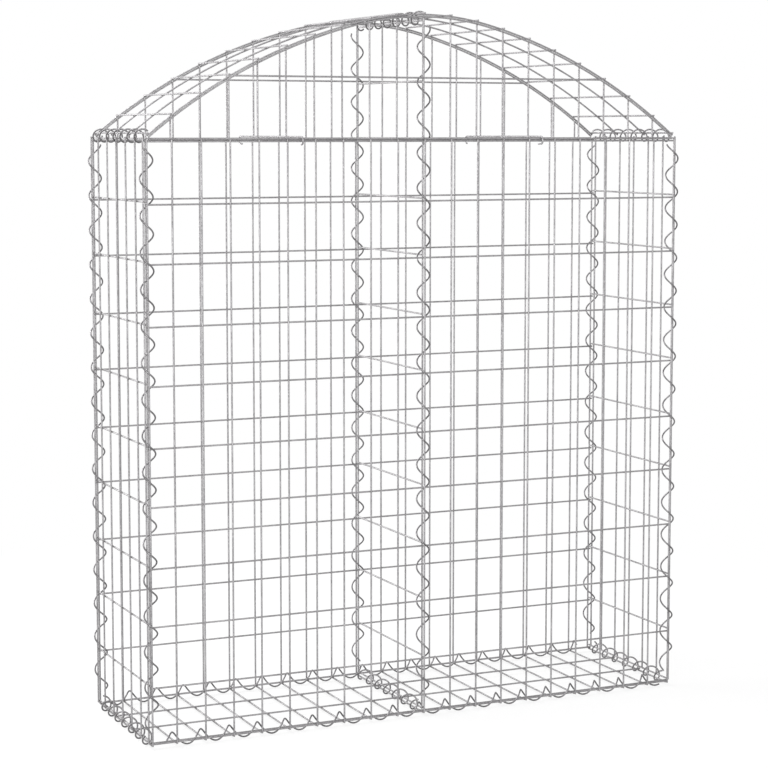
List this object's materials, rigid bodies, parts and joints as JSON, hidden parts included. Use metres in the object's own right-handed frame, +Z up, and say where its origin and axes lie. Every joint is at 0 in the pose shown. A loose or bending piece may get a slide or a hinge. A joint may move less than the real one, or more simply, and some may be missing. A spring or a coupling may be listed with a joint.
{
  "type": "gabion wall",
  "caption": "Free-standing gabion basket of welded wire mesh with an arched lid and an inner divider, bound along its edges by spiral coils, to be filled with stones.",
  "frame": {"origin": "on the ground, under the middle of the basket", "axes": "+X along the wall to the right as seen from the front, +Y from front to back, +Z up"},
  "size_m": [1.0096, 0.305, 1.2107],
  "materials": {
    "panel_wire": "dull galvanised zinc",
    "coil_wire": "dull galvanised zinc",
    "rod_wire": "dull galvanised zinc"
  },
  "bodies": {
    "root": {"front_panel": "panel_wire", "back_panel": "panel_wire", "left_end_panel": "panel_wire", "right_end_panel": "panel_wire", "bottom_panel": "panel_wire", "divider_panel": "panel_wire", "front_gable": "panel_wire", "back_gable": "panel_wire", "arched_lid": "panel_wire", "front_left_coil": "coil_wire", "back_right_coil": "coil_wire", "front_right_coil": "coil_wire", "back_left_coil": "coil_wire", "divider_front_coil": "coil_wire", "divider_back_coil": "coil_wire", "bottom_front_coil": "coil_wire", "bottom_back_coil": "coil_wire", "bottom_right_coil": "coil_wire", "bottom_left_coil": "coil_wire", "bottom_divider_coil": "coil_wire", "right_shoulder_coil": "coil_wire", "left_shoulder_coil": "coil_wire", "crown_coil": "coil_wire", "left_tie_rod": "rod_wire", "right_tie_rod": "rod_wire"}
  },
  "joints": []
}
